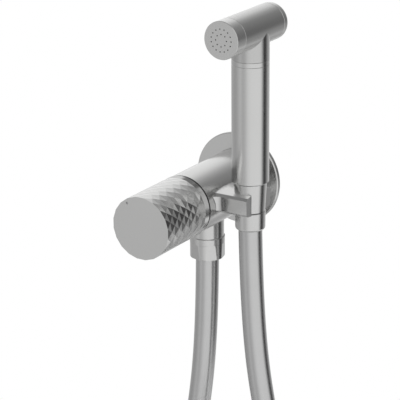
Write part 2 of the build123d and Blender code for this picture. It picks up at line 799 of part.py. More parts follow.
def hose_tail(plane, flange_radius_here):
    """Flanged tail that the hose is pressed on; the plane is the flange's face towards the hose."""
    with BuildPart() as piece:
        with BuildSketch(plane):
            Circle(flange_radius_here)
        extrude(amount=insert_flange_thickness)
        with BuildSketch(plane):
            Circle(insert_tail_radius)
        extrude(amount=-insert_tail_length)
        with BuildSketch(plane.offset(-insert_tail_length)):
            Circle(insert_bore_radius)
        extrude(amount=insert_tail_length + insert_flange_thickness, mode=Mode.SUBTRACT)
    return piece


outlet_hose_tail = hose_tail(outlet_plane(hose_start), insert_flange_radius)
keep(outlet_hose_tail, "outlet_hose_tail")

# Cone nut at the hand shower's end of the hose
tail_thread_radius = 8.1
tail_thread_length = 6.4
cone_nut_gap = 0.1
cone_nut_top_chamfer = 0.4
handset_washer_thickness = 1.7
handset_washer_bore_radius = 5.2
cone_nut_top = tail_foot_height - cone_nut_gap
cone_nut_foot = tail_foot_height - cone_nut_height
tail_thread_foot = tail_foot_height - tail_thread_length
handset_insert_top = tail_thread_foot - handset_washer_thickness
hose_end = handset_insert_top - insert_flange_thickness
cone_nut_bore_radius = tail_thread_radius + fit

with BuildPart() as hose_cone_nut:
    with BuildSketch(handset_plane(cone_nut_foot)):
        Circle(cone_nut_foot_radius)
    with BuildSketch(handset_plane(cone_nut_top)):
        Circle(cone_nut_top_radius)
    loft()
    fillet(hose_cone_nut.edges().group_by(Axis.Z)[0], cone_nut_round)
    chamfer(hose_cone_nut.edges().group_by(Axis.Z)[-1], cone_nut_top_chamfer)
    with BuildSketch(handset_plane(cone_nut_foot)):
        Circle(hose_radius + hose_hole_gap)
    extrude(amount=cone_nut_top - cone_nut_foot, mode=Mode.SUBTRACT)
    with BuildSketch(handset_plane(hose_end)):
        Circle(cone_nut_bore_radius)
    extrude(amount=cone_nut_top - hose_end, mode=Mode.SUBTRACT)
keep(hose_cone_nut, "hose_cone_nut")

handset_washer = ring(
    handset_plane(handset_insert_top),
    tail_thread_radius - soft_gap,
    handset_washer_bore_radius,
    handset_washer_thickness,
)
keep(handset_washer, "handset_washer")

handset_hose_tail = hose_tail(handset_plane(hose_end), tail_thread_radius - fit)
keep(handset_hose_tail, "handset_hose_tail")

# Hose: one metre, hanging in a loop in front of the wall
hose_points = [
    (0.0, -outlet_reach, hose_start),
    (0.0, -outlet_reach, -88.0),
    (-7.5, -40.1, -150.0),
    (-31.0, -40.6, -222.0),
    (-61.0, -41.2, -293.0),
    (-77.0, -41.6, -365.0),
    (-57.0, -42.0, -430.0),
    (-12.0, -42.3, -464.5),
    (47.0, -42.6, -464.5),
    (92.0, -43.0, -430.0),
    (112.0, -43.3, -365.0),
    (96.0, -43.6, -293.0),
    (66.0, -44.0, -222.0),
    (43.5, -44.4, -146.0),
    (handset_x, -fork_reach, -76.0),
    (handset_x, -fork_reach, hose_end),
]
corner_share = 0.45


def corner_radii(points):
    """As large an arc at each corner as its two runs allow, and the length of the rounded route."""
    vectors = [Vector(*point) for point in points]
    runs = [after - before for before, after in zip(vectors, vectors[1:])]
    length = sum(run.length for run in runs)
    radii = []
    for before, after in zip(runs, runs[1:]):
        half_turn = radians(before.get_angle(after)) / 2
        radius = corner_share * min(before.length, after.length) / tan(half_turn)
        length += 2 * radius * (half_turn - tan(half_turn))
        radii.append(radius)
    return radii, length


hose_radii, hose_length = corner_radii(hose_points)
with BuildPart() as hose:
    with BuildLine() as hose_line:
        FilletPolyline(*hose_points, radius=hose_radii)
    with BuildSketch(Plane(origin=hose_points[0], z_dir=hose_line.line % 0)):
        Circle(hose_radius)
    sweep(path=hose_line.line)
    with BuildSketch(Plane(origin=hose_points[0], z_dir=hose_line.line % 0)):
        Circle(hose_bore_radius)
    extrude(amount=hose_bore_depth, mode=Mode.SUBTRACT)
    with BuildSketch(Plane(origin=hose_points[-1], z_dir=-(hose_line.line % 1))):
        Circle(hose_bore_radius)
    extrude(amount=hose_bore_depth, mode=Mode.SUBTRACT)
keep(hose, "hose")
hose_should_be = pi * hose_radius**2 * hose_length - 2 * pi * hose_bore_radius**2 * hose_bore_depth
print("hose radii", [round(radius, 1) for radius in hose_radii])
print(f"hose length {hose_length:.1f}, volume {hose.part.volume:.0f} against {hose_should_be:.0f}")

# Tail of the hand shower: the cone that sits in the holder, with its threads
tail_spigot_length = 11.0
handle_bore_radius = 9.5
tail_bore_radius = 4.8
tail_foot_chamfer = 0.3
spigot_seal_cord = 0.9
spigot_seal_depth = 1.9
spigot_seal_from_end = 3.0


def sealed_spigot_groove(plane, outer):
    """Ring that is cut from a spigot to seat its seal; the plane is the seal's middle plane."""
    with BuildPart() as groove:
        with BuildSketch(plane.offset(-spigot_seal_cord - fit)):
            Circle(outer + cut_over)
            Circle(outer - spigot_seal_depth, mode=Mode.SUBTRACT)
        extrude(amount=2 * (spigot_seal_cord + fit))
    return groove.part


tail_seal_height = tail_top_height + tail_spigot_length - spigot_seal_from_end
spigot_outer = handle_bore_radius - fit
spigot_seal_middle = handle_bore_radius - fit - spigot_seal_cord

with BuildPart() as tail_cone:
    with BuildSketch(handset_plane(tail_foot_height)):
        Circle(tail_foot_radius)
    with BuildSketch(handset_plane(tail_top_height)):
        Circle(tail_top_radius)
    loft()
    chamfer(tail_cone.edges().group_by(Axis.Z)[0], tail_foot_chamfer)
    with BuildSketch(handset_plane(tail_thread_foot)):
        Circle(tail_thread_radius)
    extrude(amount=tail_thread_length)
    with BuildSketch(handset_plane(tail_top_height)):
        Circle(spigot_outer)
    extrude(amount=tail_spigot_length)
    with BuildSketch(handset_plane(tail_thread_foot)):
        Circle(tail_bore_radius)
    extrude(amount=tail_thread_length + tail_top_height - tail_foot_height + tail_spigot_length,
            mode=Mode.SUBTRACT)
    add(sealed_spigot_groove(handset_plane(tail_seal_height), spigot_outer), mode=Mode.SUBTRACT)
keep(tail_cone, "tail_cone")

tail_seal = ring_seal(handset_plane(tail_seal_height), spigot_seal_middle, spigot_seal_cord - fit)
keep(tail_seal, "tail_seal")

# Handle tube
handle_top_edge = 0.2

with BuildPart() as handle_tube:
    with BuildSketch(handset_plane(tail_top_height)):
        Circle(handle_radius)
    extrude(amount=handle_top_height - tail_top_height)
    chamfer(handle_tube.edges().group_by(Axis.Z)[0], handle_chamfer)
    chamfer(handle_tube.edges().group_by(Axis.Z)[-1], handle_top_edge)
    with BuildSketch(handset_plane(tail_top_height)):
        Circle(handle_bore_radius)
    extrude(amount=handle_top_height - tail_top_height, mode=Mode.SUBTRACT)
keep(handle_tube, "handle_tube")

# Ring between the handle and the head's neck, with a fine groove above and below it
neck_ring_edge = 0.2
neck_height = handle_top_height + neck_ring_height

with BuildPart() as neck_ring:
    with BuildSketch(handset_plane(handle_top_height)):
        Circle(handle_radius)
    extrude(amount=neck_ring_height)
    chamfer(neck_ring.edges(), neck_ring_edge)
    with BuildSketch(handset_plane(handle_top_height)):
        Circle(handle_bore_radius)
    extrude(amount=neck_ring_height, mode=Mode.SUBTRACT)
keep(neck_ring, "neck_ring")

# Head sizes inside: front chamber, valve seat, middle chamber, partition and button bore
cap_length = head_cap_length
cap_seam_reach = head_front_reach - cap_length
head_body_back_reach = head_back_reach + head_ring_length
cap_spigot_length = 6.0
cap_wall = 1.7
cap_front_wall = 1.6
cap_edge_chamfer = 0.2
front_bore_radius = 9.2
front_floor_reach = 55.0
seat_orifice_radius = 3.4
seat_wall = 2.5
chamber_bore_radius = 7.6
partition_front_reach = 40.5
partition_wall = 2.5
button_bore_radius = 9.6
button_radius = 8.4
button_wall = 1.6
button_length = 13.0
button_dome = 0.7
button_flange_thickness = 1.6
button_stop_gap = 0.1
ring_bore_radius = button_radius + running_fit + seam
ring_spigot_length = 6.0
ring_spigot_radius = 10.3
ring_round = 2.6
stem_radius = 1.6
neck_bore_radius = 5.5
neck_spigot_length = 10.0
partition_back_reach = partition_front_reach - partition_wall
seat_back_reach = front_floor_reach - seat_wall

with BuildPart() as head_body:
    with BuildSketch(head_plane(head_body_back_reach)):
        Circle(head_radius)
    extrude(amount=cap_seam_reach - head_body_back_reach)
    chamfer(head_body.edges().filter_by(GeomType.CIRCLE), seam_edge)
    with BuildSketch(handset_plane(neck_height)):
        Circle(handle_radius)
    extrude(until=Until.NEXT)
    chamfer(head_body.edges().group_by(Axis.Z)[0], neck_ring_edge)
    with BuildSketch(handset_plane(neck_height)):
        Circle(spigot_outer)
    extrude(amount=-neck_ring_height - neck_spigot_length)
    with BuildSketch(handset_plane(handle_top_height - neck_spigot_length)):
        Circle(neck_bore_radius)
    extrude(amount=head_height - handle_top_height + neck_spigot_length, mode=Mode.SUBTRACT)
    add(
        sealed_spigot_groove(
            handset_plane(handle_top_height - neck_spigot_length + spigot_seal_from_end), spigot_outer
        ),
        mode=Mode.SUBTRACT,
    )
    with BuildSketch(head_plane(partition_front_reach)):
        Circle(chamber_bore_radius)
    extrude(amount=seat_back_reach - partition_front_reach, mode=Mode.SUBTRACT)
    with BuildSketch(head_plane(seat_back_reach)):
        Circle(seat_orifice_radius)
    extrude(amount=seat_wall, mode=Mode.SUBTRACT)
    with BuildSketch(head_plane(front_floor_reach)):
        Circle(front_bore_radius)
    extrude(amount=cap_seam_reach - front_floor_reach, mode=Mode.SUBTRACT)
    with BuildSketch(head_plane(cap_seam_reach - cap_spigot_length)):
        Circle(head_radius - cap_wall + fit)
    extrude(amount=cap_spigot_length, mode=Mode.SUBTRACT)
    with BuildSketch(head_plane(head_body_back_reach)):
        Circle(button_bore_radius)
    extrude(amount=partition_back_reach - head_body_back_reach, mode=Mode.SUBTRACT)
    with BuildSketch(head_plane(head_body_back_reach)):
        Circle(ring_spigot_radius + fit)
    extrude(amount=ring_spigot_length, mode=Mode.SUBTRACT)
    with BuildSketch(head_plane(partition_back_reach)):
        Circle(stem_radius + running_fit)
    extrude(amount=partition_wall, mode=Mode.SUBTRACT)
keep(head_body, "head_body")

neck_seal = ring_seal(
    handset_plane(handle_top_height - neck_spigot_length + spigot_seal_from_end),
    spigot_seal_middle,
    spigot_seal_cord - fit,
)
keep(neck_seal, "neck_seal")

# Spray cap: the head's front end, a cup whose flat face carries the spray holes
hole_radius = 0.4
outer_hole_circle_share = 0.59
outer_hole_count = 15
outer_hole_turn = 96.5
inner_hole_circle_share = 0.32
inner_hole_count = 8
inner_hole_turn = 90.0

outer_hole_circle = head_radius * outer_hole_circle_share
inner_hole_circle = head_radius * inner_hole_circle_share

with BuildPart() as spray_cap:
    with BuildSketch(head_plane(cap_seam_reach)):
        Circle(head_radius)
    extrude(amount=cap_length)
    chamfer(spray_cap.edges().group_by(Axis.Y)[0], cap_edge_chamfer)
    chamfer(spray_cap.edges().group_by(Axis.Y)[-1], seam_edge)
    with BuildSketch(head_plane(cap_seam_reach - cap_spigot_length)):
        Circle(head_radius - cap_wall)
    extrude(amount=cap_spigot_length)
    with BuildSketch(head_plane(cap_seam_reach - cap_spigot_length)):
        Circle(head_radius - 2 * cap_wall)
    extrude(amount=cap_spigot_length + cap_length - cap_front_wall, mode=Mode.SUBTRACT)
    with BuildSketch(head_plane(head_front_reach)):
        with PolarLocations(outer_hole_circle, outer_hole_count, start_angle=outer_hole_turn):
            Circle(hole_radius)
        with PolarLocations(inner_hole_circle, inner_hole_count, start_angle=inner_hole_turn):
            Circle(hole_radius)
    extrude(amount=-cap_front_wall, mode=Mode.SUBTRACT)
keep(spray_cap, "spray_cap")

# Flow disc and its gasket behind the spray face
spray_chamber = 2.0
gasket_thickness = 1.0
gasket_width = 1.4
flow_disc_thickness = 1.8
flow_disc_radius = head_radius - 2 * cap_wall - fit
flow_hole_radius = 0.9
flow_hole_circle_share = 0.55
flow_hole_count = 8
gasket_front_reach = head_front_reach - cap_front_wall - spray_chamber
flow_disc_reach = gasket_front_reach - gasket_thickness - flow_disc_thickness
spacer_radius = flow_disc_radius - gasket_width

with BuildPart() as spray_gasket:
    with BuildSketch(head_plane(gasket_front_reach - gasket_thickness)):
        Circle(flow_disc_radius)
        Circle(spacer_radius, mode=Mode.SUBTRACT)
    extrude(amount=gasket_thickness + spray_chamber)
keep(spray_gasket, "spray_gasket")

with BuildPart() as flow_disc:
    with BuildSketch(head_plane(flow_disc_reach)):
        Circle(flow_disc_radius)
        with PolarLocations(flow_disc_radius * flow_hole_circle_share, flow_hole_count):
            Circle(flow_hole_radius, mode=Mode.SUBTRACT)
    extrude(amount=flow_disc_thickness)
keep(flow_disc, "flow_disc")

# Rear ring of the head, rounded at its end, that the button slides in
with BuildPart() as head_rear_ring:
    with BuildSketch(head_plane(head_back_reach)):
        Circle(head_radius)
    extrude(amount=head_ring_length)
    fillet(head_rear_ring.edges().group_by(Axis.Y)[-1], ring_round)
    chamfer(head_rear_ring.edges().group_by(Axis.Y)[0], seam_edge)
    with BuildSketch(head_plane(head_body_back_reach)):
        Circle(ring_spigot_radius)
    extrude(amount=ring_spigot_length)
    with BuildSketch(head_plane(head_back_reach)):
        Circle(ring_bore_radius)
    extrude(amount=head_ring_length + ring_spigot_length, mode=Mode.SUBTRACT)
keep(head_rear_ring, "head_rear_ring")

# Push button: a cup with a flange that stops against the ring's inner end
button_flange_reach = head_body_back_reach + ring_spigot_length + button_stop_gap
button_back_reach = head_back_reach + seam
stem_back_reach = button_back_reach + button_wall

with BuildPart() as push_button:
    with BuildSketch(head_plane(button_back_reach)):
        Circle(button_radius)
    extrude(amount=button_length)
    fillet(push_button.edges().group_by(Axis.Y)[-1], button_dome)
    with BuildSketch(head_plane(button_flange_reach)):
        Circle(button_bore_radius - running_fit - seam)
    extrude(amount=button_flange_thickness)
    with BuildSketch(head_plane(button_back_reach + 2 * button_wall)):
        Circle(button_radius - button_wall)
    extrude(amount=button_length + button_flange_thickness, mode=Mode.SUBTRACT)
    with BuildSketch(head_plane(stem_back_reach)):
        Circle(stem_radius + fit)
    extrude(amount=button_wall, mode=Mode.SUBTRACT)
keep(push_button, "push_button")

# Valve stem, its seals and the nut at its front end
valve_seal_radius = 5.2
valve_seal_thickness = 2.0
stem_nut_radius = 2.8
stem_nut_thickness = 2.0
stem_front_reach = front_floor_reach + valve_seal_thickness + stem_nut_thickness + 2 * seam
stem_seal_cord = 0.7

with BuildPart() as valve_stem:
    with BuildSketch(head_plane(stem_back_reach)):
        Circle(stem_radius)
    extrude(amount=stem_front_reach - stem_back_reach)
keep(valve_stem, "valve_stem")

valve_seal = ring(
    head_plane(front_floor_reach + disc_film), valve_seal_radius, stem_radius + fit, valve_seal_thickness
)
keep(valve_seal, "valve_seal")

with BuildPart() as stem_nut:
    with BuildSketch(head_plane(front_floor_reach + disc_film + valve_seal_thickness)):
        RegularPolygon(stem_nut_radius, 6)
        Circle(stem_radius + fit, mode=Mode.SUBTRACT)
    extrude(amount=stem_nut_thickness)
keep(stem_nut, "stem_nut")

stem_seal = ring_seal(
    head_plane(partition_front_reach + stem_seal_cord),
    stem_radius + running_fit + stem_seal_cord,
    stem_seal_cord,
)
keep(stem_seal, "stem_seal")

button_spring_radius = 5.6
button_spring_wire = 0.45
button_spring_turns = 6
button_spring = coil_spring(
    (handset_x, -partition_back_reach, head_height),
    (0, 1, 0),
    partition_back_reach - button_back_reach - 2 * button_wall,
    button_spring_radius,
    button_spring_wire,
    button_spring_turns,
)
keep(button_spring, "button_spring")

# Holder fork: crowned and chamfered section, flared root, bored for the hand shower's tail
fork_foot = fork_height - fork_crown_half_height
fork_top = fork_height + fork_crown_half_height
tail_slope = (tail_top_radius - tail_foot_radius) / (tail_top_height - tail_foot_height)
fork_bore_radius = tail_foot_radius + tail_slope * (fork_top - tail_foot_height) + fit
fork_tip_x = handset_x + fork_tip_past_axis
fork_flare_x = handset_x - fork_flare_from_axis
fork_inner = fork_half_width - fork_chamfer_width
fork_flat_foot = fork_height - fork_flat_half_height

with BuildPart() as holder_fork:
    with BuildSketch(Plane(origin=(fork_tip_x / 2, -fork_reach, fork_foot), z_dir=(0, 0, 1))):
        Rectangle(fork_tip_x, 2 * fork_half_width)
    extrude(amount=2 * fork_crown_half_height)
    crown_corner = fork_half_width - fork_chamfer_width
    crown_shoulder = fork_flat_half_height + fork_chamfer_height
    with BuildSketch(Plane(origin=(0, -fork_reach, fork_height), x_dir=(0, 1, 0), z_dir=(1, 0, 0))):
        with BuildLine():
            Polyline(
                (-crown_corner, crown_shoulder),
                (-fork_half_width, fork_flat_half_height),
                (-fork_half_width, -fork_flat_half_height),
                (-crown_corner, -crown_shoulder),
            )
            ThreePointArc((-crown_corner, -crown_shoulder), (0, -fork_crown_half_height),
                          (crown_corner, -crown_shoulder))
            Polyline(
                (crown_corner, -crown_shoulder),
                (fork_half_width, -fork_flat_half_height),
                (fork_half_width, fork_flat_half_height),
                (crown_corner, crown_shoulder),
            )
            ThreePointArc((crown_corner, crown_shoulder), (0, fork_crown_half_height),
                          (-crown_corner, crown_shoulder))
        make_face()
    extrude(amount=fork_tip_x, mode=Mode.INTERSECT)
    for side in (1, -1):
        with BuildSketch(Plane(origin=(0, -fork_reach, fork_flat_foot), z_dir=(0, 0, 1))):
            with BuildLine():
                TangentArc(
                    (fork_flare_x, side * fork_half_width),
                    (fork_root_x, side * (fork_half_width + fork_flare_spread)),
                    tangent=(-1, 0),
                )
                Polyline(
                    (fork_root_x, side * (fork_half_width + fork_flare_spread)),
                    (fork_root_x, side * fork_inner),
                    (fork_flare_x, side * fork_inner),
                    (fork_flare_x, side * fork_half_width),
                )
            make_face()
        extrude(amount=2 * fork_flat_half_height)
    with BuildSketch(front_plane(0)):
        Circle(body_radius + seam)
    extrude(amount=2 * fork_reach, mode=Mode.SUBTRACT)
    with BuildSketch(handset_plane(fork_foot)):
        Circle(fork_bore_radius)
        with Locations((fork_tip_past_axis, 0)):
            Rectangle(2 * fork_tip_past_axis, 2 * fork_mouth_half_width)
    extrude(amount=2 * fork_crown_half_height, mode=Mode.SUBTRACT)
    with BuildSketch(Plane.YZ.offset(body_radius - fork_stud_into_body)):
        with Locations((-fork_reach, fork_height)):
            Circle(fork_stud_radius + fit)
    extrude(amount=fork_stud_into_body + fork_stud_into_fork, mode=Mode.SUBTRACT)
    with BuildSketch(Plane.YZ.offset(body_radius - fork_pin_into_body)):
        with Locations((-fork_reach + fork_pin_offset, fork_height)):
            Circle(fork_pin_radius + fit)
    extrude(amount=2 * fork_pin_into_body, mode=Mode.SUBTRACT)
keep(holder_fork, "holder_fork")

with BuildPart() as fork_stud:
    with BuildSketch(Plane.YZ.offset(body_radius - fork_stud_into_body)):
        with Locations((-fork_reach, fork_height)):
            Circle(fork_stud_radius)
    extrude(amount=fork_stud_into_body + fork_stud_into_fork)
keep(fork_stud, "fork_stud")

with BuildPart() as fork_pin:
    with BuildSketch(Plane.YZ.offset(body_radius - fork_pin_into_body)):
        with Locations((-fork_reach + fork_pin_offset, fork_height)):
            Circle(fork_pin_radius)
    extrude(amount=2 * fork_pin_into_body)
keep(fork_pin, "fork_pin")
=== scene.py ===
"""Looks of the bidet mixer: satin brushed steel, a silver hose and soft studio light.

Everything is in metres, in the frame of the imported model: the wall is the plane Y = 0, +Z is up.
"""
import json
from math import cos, pi, radians, sin

import bpy
from mathutils import Matrix, Vector


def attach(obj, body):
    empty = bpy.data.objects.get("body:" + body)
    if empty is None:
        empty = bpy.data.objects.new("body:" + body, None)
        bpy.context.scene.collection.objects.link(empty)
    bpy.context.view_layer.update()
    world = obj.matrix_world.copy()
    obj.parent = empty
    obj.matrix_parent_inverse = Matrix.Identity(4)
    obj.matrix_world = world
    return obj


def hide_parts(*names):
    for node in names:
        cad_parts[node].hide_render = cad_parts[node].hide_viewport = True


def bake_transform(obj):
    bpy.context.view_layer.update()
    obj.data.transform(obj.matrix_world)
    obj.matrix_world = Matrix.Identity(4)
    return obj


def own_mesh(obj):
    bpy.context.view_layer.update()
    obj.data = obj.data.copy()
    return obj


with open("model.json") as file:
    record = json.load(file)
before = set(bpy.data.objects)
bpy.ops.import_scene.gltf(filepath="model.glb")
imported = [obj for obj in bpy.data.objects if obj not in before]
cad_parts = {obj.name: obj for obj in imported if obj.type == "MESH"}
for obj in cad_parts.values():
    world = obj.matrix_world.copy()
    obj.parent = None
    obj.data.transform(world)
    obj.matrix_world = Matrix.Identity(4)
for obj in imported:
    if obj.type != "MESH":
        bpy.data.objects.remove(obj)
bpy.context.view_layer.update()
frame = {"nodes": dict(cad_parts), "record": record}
nodes = frame["nodes"]
scene = bpy.context.scene
scene.view_settings.view_transform = "Standard"

# Camera at the photograph's place and angle
camera_place = Vector((0.56803, -0.94298, 0.36742))
camera_turn = radians(32.41)
camera_drop = radians(19.207)
camera_roll = radians(-0.494)
camera_lens_mm = 159.94
camera_sensor_mm = 36.0
camera_clip_start = 0.05
camera_clip_end = 20.0


def make_camera():
    back = Vector(
        (sin(camera_turn) * cos(camera_drop), -cos(camera_turn) * cos(camera_drop), sin(camera_drop))
    )
    level_right = Vector((cos(camera_turn), sin(camera_turn), 0))
    level_up = back.cross(level_right)
    right = level_right * cos(camera_roll) + level_up * sin(camera_roll)
    up = level_up * cos(camera_roll) - level_right * sin(camera_roll)
    data = bpy.data.cameras.new("camera")
    data.lens = camera_lens_mm
    data.sensor_width = camera_sensor_mm
    data.clip_start = camera_clip_start
    data.clip_end = camera_clip_end
    camera = bpy.data.objects.new("camera", data)
    axes = Matrix((right, up, back)).transposed().to_4x4()
    camera.matrix_world = Matrix.Translation(camera_place) @ axes
    scene.collection.objects.link(camera)
    scene.camera = camera


make_camera()

# Hose: one metre, hanging in a loop from the outlet's nut to the hand shower's nut
hose_radius = 0.0075
hose_steps = 14
hose_sides = 48
hose_route = [
    (0.0, -0.0398, -0.0402),
    (-0.0006, -0.0398, -0.088),
    (-0.0066, -0.0401, -0.150),
    (-0.022, -0.0406, -0.222),
    (-0.061, -0.0412, -0.293),
    (-0.077, -0.0416, -0.365),
    (-0.057, -0.0420, -0.430),
    (-0.012, -0.0423, -0.4645),
    (0.047, -0.0426, -0.4645),
    (0.092, -0.0430, -0.430),
    (0.112, -0.0433, -0.365),
    (0.096, -0.0436, -0.293),
    (0.068, -0.0440, -0.222),
    (0.0463, -0.0444, -0.146),
    (0.0362, -0.045, -0.076),
    (0.035, -0.045, -0.0121),
]


def route_points(route, steps):
    """Points along a smooth spline that has the route's points as its control points."""
    data = bpy.data.curves.new("route", "CURVE")
    data.dimensions = "3D"
    data.resolution_u = steps
    spline = data.splines.new("NURBS")
    spline.points.add(len(route) - 1)
    for point, place in zip(spline.points, route):
        point.co = (*place, 1)
    spline.order_u = 3
    spline.use_endpoint_u = True
    holder = bpy.data.objects.new("route", data)
    scene.collection.objects.link(holder)
    mesh = bpy.data.meshes.new_from_object(holder.evaluated_get(bpy.context.evaluated_depsgraph_get()))
    points = [vertex.co.copy() for vertex in mesh.vertices]
    bpy.data.objects.remove(holder)
    return points


def tube_mesh(name, points, radius, sides):
    """Round tube along points, with a frame that is carried along without twist."""
    vertices = []
    faces = []
    normal = Vector((1, 0, 0))
    for index, point in enumerate(points):
        before = points[max(index - 1, 0)]
        after = points[min(index + 1, len(points) - 1)]
        along = (after - before).normalized()
        normal = (normal - along * normal.dot(along)).normalized()
        across = along.cross(normal)
        for side in range(sides):
            angle = 2 * pi * side / sides
            vertices.append(point + (normal * cos(angle) + across * sin(angle)) * radius)
    for index in range(len(points) - 1):
        for side in range(sides):
            here = index * sides
            there = here + sides
            after_side = (side + 1) % sides
            faces.append((here + side, here + after_side, there + after_side, there + side))
    # Each end has its own ring of corners, so the round side keeps its smooth shading up to the end
    first_ring = vertices[:sides]
    last_ring = vertices[-sides:]
    for ring, flip in ((first_ring, -1), (last_ring, 1)):
        start = len(vertices)
        vertices.extend(ring)
        faces.append(tuple(range(start, start + sides))[::flip])
    mesh = bpy.data.meshes.new(name)
    mesh.from_pydata([tuple(vertex) for vertex in vertices], [], faces)
    mesh.polygons.foreach_set("use_smooth", [len(face) == 4 for face in faces])
    tube = bpy.data.objects.new(name, mesh)
    scene.collection.objects.link(tube)
    return tube


hose_points = route_points(hose_route, hose_steps)
hose_tube = tube_mesh("hose_skin", hose_points, hose_radius, hose_sides)
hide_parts("hose")
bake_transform(hose_tube)


def grey(level):
    return (level, level, level, 1)


# Materials
class Nodes:
    """Short ways to build a node tree. A value is a number, a colour or another node's output."""

    def __init__(self, tree):
        self.tree = tree

    def node(self, kind, **settings):
        made = self.tree.nodes.new(kind)
        for key, value in settings.items():
            setattr(made, key, value)
        return made

    def feed(self, socket, value):
        if isinstance(value, bpy.types.NodeSocket):
            self.tree.links.new(value, socket)
        else:
            socket.default_value = value

    def math(self, operation, *values):
        made = self.node("ShaderNodeMath", operation=operation)
        for socket, value in zip(made.inputs, values):
            self.feed(socket, value)
        return made.outputs[0]

    def vector(self, operation, *values, output="Vector"):
        made = self.node("ShaderNodeVectorMath", operation=operation)
        for socket, value in zip(made.inputs, values):
            self.feed(socket, value)
        return made.outputs[output]

    def range(self, value, low, high, from_low=0.0, from_high=1.0, interpolation="LINEAR"):
        made = self.node("ShaderNodeMapRange", interpolation_type=interpolation)
        sockets = ("Value", "From Min", "From Max", "To Min", "To Max")
        for name, setting in zip(sockets, (value, from_low, from_high, low, high)):
            self.feed(made.inputs[name], setting)
        return made.outputs["Result"]

    def mix(self, share, first, second):
        made = self.node("ShaderNodeMix", data_type="RGBA")
        for name, value in (("Factor", share), ("A", first), ("B", second)):
            self.feed(made.inputs[name], value)
        return made.outputs["Result"]

    def mix_shaders(self, share, first, second):
        made = self.node("ShaderNodeMixShader")
        for socket, value in zip(made.inputs, (share, first, second)):
            self.feed(socket, value)
        return made.outputs[0]


class Material(Nodes):
    """Nodes of one material, which starts from its principled shader."""

    def __init__(self, name):
        self.material = bpy.data.materials.new(name)
        self.material.use_nodes = True
        super().__init__(self.material.node_tree)
        self.shader = self.tree.nodes["Principled BSDF"]
        self.place = self.node("ShaderNodeTexCoord").outputs["Object"]

    def noise(self, scale, detail, roughness, place=None):
        made = self.node("ShaderNodeTexNoise")
        sockets = ("Scale", "Detail", "Roughness", "Vector")
        for name, value in zip(sockets, (scale, detail, roughness, place or self.place)):
            self.feed(made.inputs[name], value)
        return made.outputs["Fac"]

    def tone(self, share, colour, dark_share, light_share):
        """The colour, from its dark share to its light share."""
        dark = (*[part * dark_share for part in colour], 1)
        light = (*[min(1, part * light_share) for part in colour], 1)
        return self.mix(share, dark, light)

    def band(self, low, high):
        """One where the place's Y lies between low and high, else nothing."""
        parts = self.node("ShaderNodeSeparateXYZ")
        self.feed(parts.inputs["Vector"], self.place)
        above = self.math("GREATER_THAN", parts.outputs["Y"], low)
        below = self.math("LESS_THAN", parts.outputs["Y"], high)
        return self.math("MULTIPLY", above, below)

    def radius(self):
        """Distance of the place from the Y axis."""
        flat = self.vector("MULTIPLY", self.place, (1, 0, 1))
        return self.vector("LENGTH", flat, output="Value")

    def finish(self, paint, roughness, height, strength, depth, metallic=0.0, normal=None):
        """Joins paint, roughness and bump to the shader, and gives the material."""
        bump = self.node("ShaderNodeBump")
        for name, value in (("Strength", strength), ("Distance", depth), ("Height", height)):
            self.feed(bump.inputs[name], value)
        if normal:
            self.feed(bump.inputs["Normal"], normal)
        for name, value in (
            ("Base Color", paint),
            ("Roughness", roughness),
            ("Metallic", metallic),
            ("Normal", bump.outputs["Normal"]),
        ):
            self.feed(self.shader.inputs[name], value)
        return self.material


steel_colour = (0.60, 0.60, 0.595)
head_colour = (0.53, 0.53, 0.525)
# Near-black paint: painted shade for the narrow gap between knob and body
gap_shade_colour = grey(0.02)
# Darker grey paint: painted shade for a small drilled dimple on the knob
dimple_shade_colour = grey(0.44)
steel_roughness = 0.20
knob_roughness = 0.17
grain_across = 5000.0
grain_along = 6.0
grain_share = 0.6
cloud_scale = 28.0


def brushed_steel(
    name, grain_axis, colour=steel_colour, roughness=steel_roughness, gap_shade=None, lean=None, dot=None
):
    """Satin steel turned and brushed round one axis, so its fine lines run round that axis.

    The gap band (from, to, radius) along Y is painted near-black inside that radius, as painted shade
    in the narrow gap.
    lean is a band (from, to, share) along Y whose surface tips towards the front by that share.
    The dot, a place and a radius round it, is painted darker, as painted shade standing in for a small
    drilled dimple.
    """
    made = Material(name)
    stretch = made.node("ShaderNodeMapping")
    stretch.inputs["Scale"].default_value = [
        grain_across if axis == grain_axis else grain_along for axis in "XYZ"
    ]
    made.feed(stretch.inputs["Vector"], made.place)
    grain = made.noise(1.0, 4.0, 0.65, stretch.outputs["Vector"])
    cloud = made.noise(cloud_scale, 2.0, 0.5)
    share = made.math(
        "ADD", made.math("MULTIPLY", grain, grain_share), made.math("MULTIPLY", cloud, 1 - grain_share)
    )
    paint = made.tone(share, colour, 0.95, 1.05)
    # Painted shade: inside the gap band and radius the paint turns near-black
    if gap_shade:
        low, high, gap_radius = gap_shade
        within = made.math("LESS_THAN", made.radius(), gap_radius)
        paint = made.mix(made.math("MULTIPLY", made.band(low, high), within), paint, gap_shade_colour)
    # Painted shade: round the dot the paint turns darker, in place of a dimple's hollow
    if dot:
        dot_place, dot_radius = dot
        apart = made.vector("DISTANCE", made.place, dot_place, output="Value")
        paint = made.mix(made.math("LESS_THAN", apart, dot_radius), paint, dimple_shade_colour)
    normal = None
    if lean:
        low, high, lean_share = lean
        tip = made.node("ShaderNodeCombineXYZ")
        made.feed(tip.inputs["Y"], made.math("MULTIPLY", made.band(low, high), -lean_share))
        straight = made.node("ShaderNodeNewGeometry").outputs["Normal"]
        normal = made.vector("NORMALIZE", made.vector("ADD", straight, tip.outputs["Vector"]))
    rough = made.math(
        "ADD", made.range(grain, -0.03, 0.03), made.range(cloud, roughness - 0.01, roughness + 0.01)
    )
    return made.finish(paint, rough, grain, 0.02, 0.00001, metallic=1.0, normal=normal)


